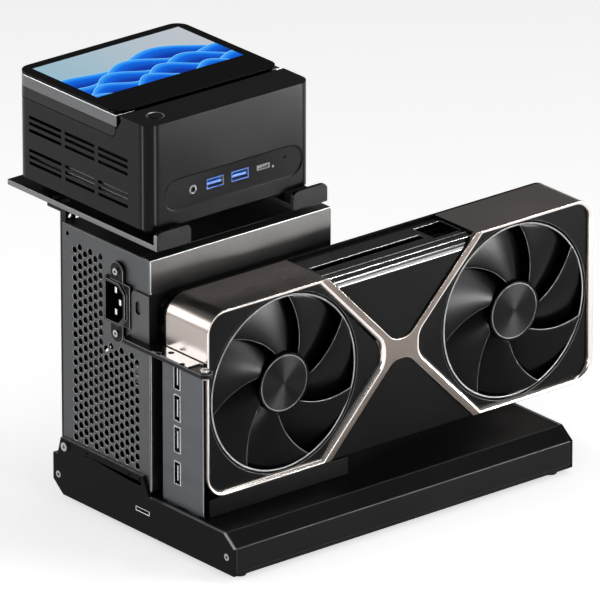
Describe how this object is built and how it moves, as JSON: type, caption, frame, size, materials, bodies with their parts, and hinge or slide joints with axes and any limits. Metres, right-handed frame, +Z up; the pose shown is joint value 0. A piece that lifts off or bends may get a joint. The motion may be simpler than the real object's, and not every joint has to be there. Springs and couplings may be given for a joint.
{
  "type": "external graphics dock",
  "caption": "Desktop expansion dock: low base with a card slot, upright power supply, graphics card in the slot and a small computer with a tilting screen on a tray.",
  "frame": {"origin": "centre of the outer box at the bottom of the feet", "axes": "+X along the base and the card, away from the port plate; +Y to the rear; +Z up; the card's fans face -Y"},
  "size_m": [0.3154, 0.224, 0.2655],
  "materials": {
    "black_sheet": "satin black powder coat",
    "plate_black": "satin black, bare bright upper edge",
    "rubber": "matt black rubber",
    "zinc": "zinc plated",
    "pcb_green": "solder mask over glass laminate",
    "pcb_black": "black solder mask",
    "brass": "machined brass",
    "slot_black": "moulded black",
    "latch_grey": "moulded dark grey",
    "port_metal": "bright nickel plate",
    "header_white": "moulded ivory nylon",
    "psu_grey": "satin gunmetal coat",
    "inlet_black": "moulded black",
    "aluminium": "extruded aluminium",
    "component": "wound and moulded components",
    "fan_black": "semi-gloss black moulding",
    "wire_black": "black coated steel wire",
    "carrier_grey": "dark grey coat",
    "tray_black": "black top, light grey cut edges",
    "champagne": "satin champagne anodised",
    "charcoal": "satin charcoal",
    "panel_black": "flat black",
    "copper": "plated copper",
    "chip": "moulded packages",
    "bracket_steel": "satin plated steel",
    "mini_dark": "fine matt dark anodised",
    "panel_dark": "matt black",
    "port_blue": "blue tongues in nickel shells",
    "screen_silver": "satin silver",
    "screen_dark": "satin dark",
    "cover_glass": "black bordered cover glass over the display"
  },
  "bodies": {
    "dock": {"base_shell": "black_sheet", "base_floor": "black_sheet", "io_end_plate": "plate_black", "far_end_plate": "plate_black", "rubber_feet": "rubber", "base_screws": "zinc", "main_board": "pcb_green", "board_standoffs": "brass", "pcie_slot": "slot_black", "slot_shroud": "black_sheet", "link_port": "port_metal", "power_header": "header_white", "psu_pads": "rubber", "psu_case": "psu_grey", "psu_front_cover": "psu_grey", "psu_vent_panel": "psu_grey", "iec_inlet": "inlet_black", "iec_pins": "port_metal", "psu_screws": "zinc", "psu_fan_frame": "fan_black", "psu_fan_grille": "wire_black", "psu_board": "pcb_green", "psu_heatsinks": "aluminium", "psu_components": "component", "cable_outlet": "inlet_black", "corner_bracket": "carrier_grey", "retention_bar": "carrier_grey", "tray_post_left": "carrier_grey", "tray_post_right": "carrier_grey", "tray": "tray_black", "tray_screws": "zinc"},
    "psu_fan": {"psu_fan_rotor": "fan_black"},
    "latch": {"slot_latch": "latch_grey"},
    "card": {"card_frame": "champagne", "card_spine": "charcoal", "card_panels": "panel_black", "fan_mounts": "fan_black", "card_fins": "aluminium", "heat_pipes": "copper", "cold_plate": "copper", "card_board": "pcb_black", "card_chips": "chip", "card_bracket": "bracket_steel", "display_ports": "port_metal", "power_socket": "slot_black", "card_backplate": "charcoal"},
    "left_fan": {"card_fan_left": "fan_black"},
    "right_fan": {"card_fan_right": "fan_black"},
    "computer": {"mini_case": "mini_dark", "mini_bottom": "mini_dark", "mini_feet": "rubber", "mini_board": "pcb_green", "mini_cooler": "aluminium", "port_panel": "panel_dark", "mini_ports": "port_blue"},
    "screen": {"screen_housing": "screen_silver", "screen_back": "screen_dark", "screen_glass": "cover_glass", "hinge_pins": "zinc"},
    "button": {"power_button": "mini_dark"}
  },
  "joints": [
    {"name": "psu_fan_spin", "type": "hinge", "parent": "dock", "child": "psu_fan", "pos_m": [-0.0802, 0.038, 0.1054], "axis": [0, 1, 0], "continuous": true},
    {"name": "slot_latch_tilt", "type": "hinge", "parent": "dock", "child": "latch", "pos_m": [-0.0419, -0.0472, 0.0271], "axis": [0, 1, 0], "range_deg": [0, 15]},
    {"name": "card_lift", "type": "slide", "parent": "dock", "child": "card", "axis": [0, 0, 1], "range_m": [0, 0.05]},
    {"name": "left_fan_spin", "type": "hinge", "parent": "card", "child": "left_fan", "pos_m": [-0.085, -0.072, 0.1], "axis": [0, 1, 0], "continuous": true},
    {"name": "right_fan_spin", "type": "hinge", "parent": "card", "child": "right_fan", "pos_m": [0.0964, -0.072, 0.1], "axis": [0, 1, 0], "continuous": true},
    {"name": "computer_lift", "type": "slide", "parent": "dock", "child": "computer", "axis": [0, 0, 1], "range_m": [0, 0.05]},
    {"name": "screen_tilt", "type": "hinge", "parent": "computer", "child": "screen", "pos_m": [-0.0852, 0.005, 0.2607], "axis": [1, 0, 0], "range_deg": [0, 70]},
    {"name": "power_button_press", "type": "slide", "parent": "computer", "child": "button", "axis": [0, 0, -1], "range_m": [0, 0.0008], "stiffness_N_per_m": 600, "springref_m": -0.0006}
  ]
}
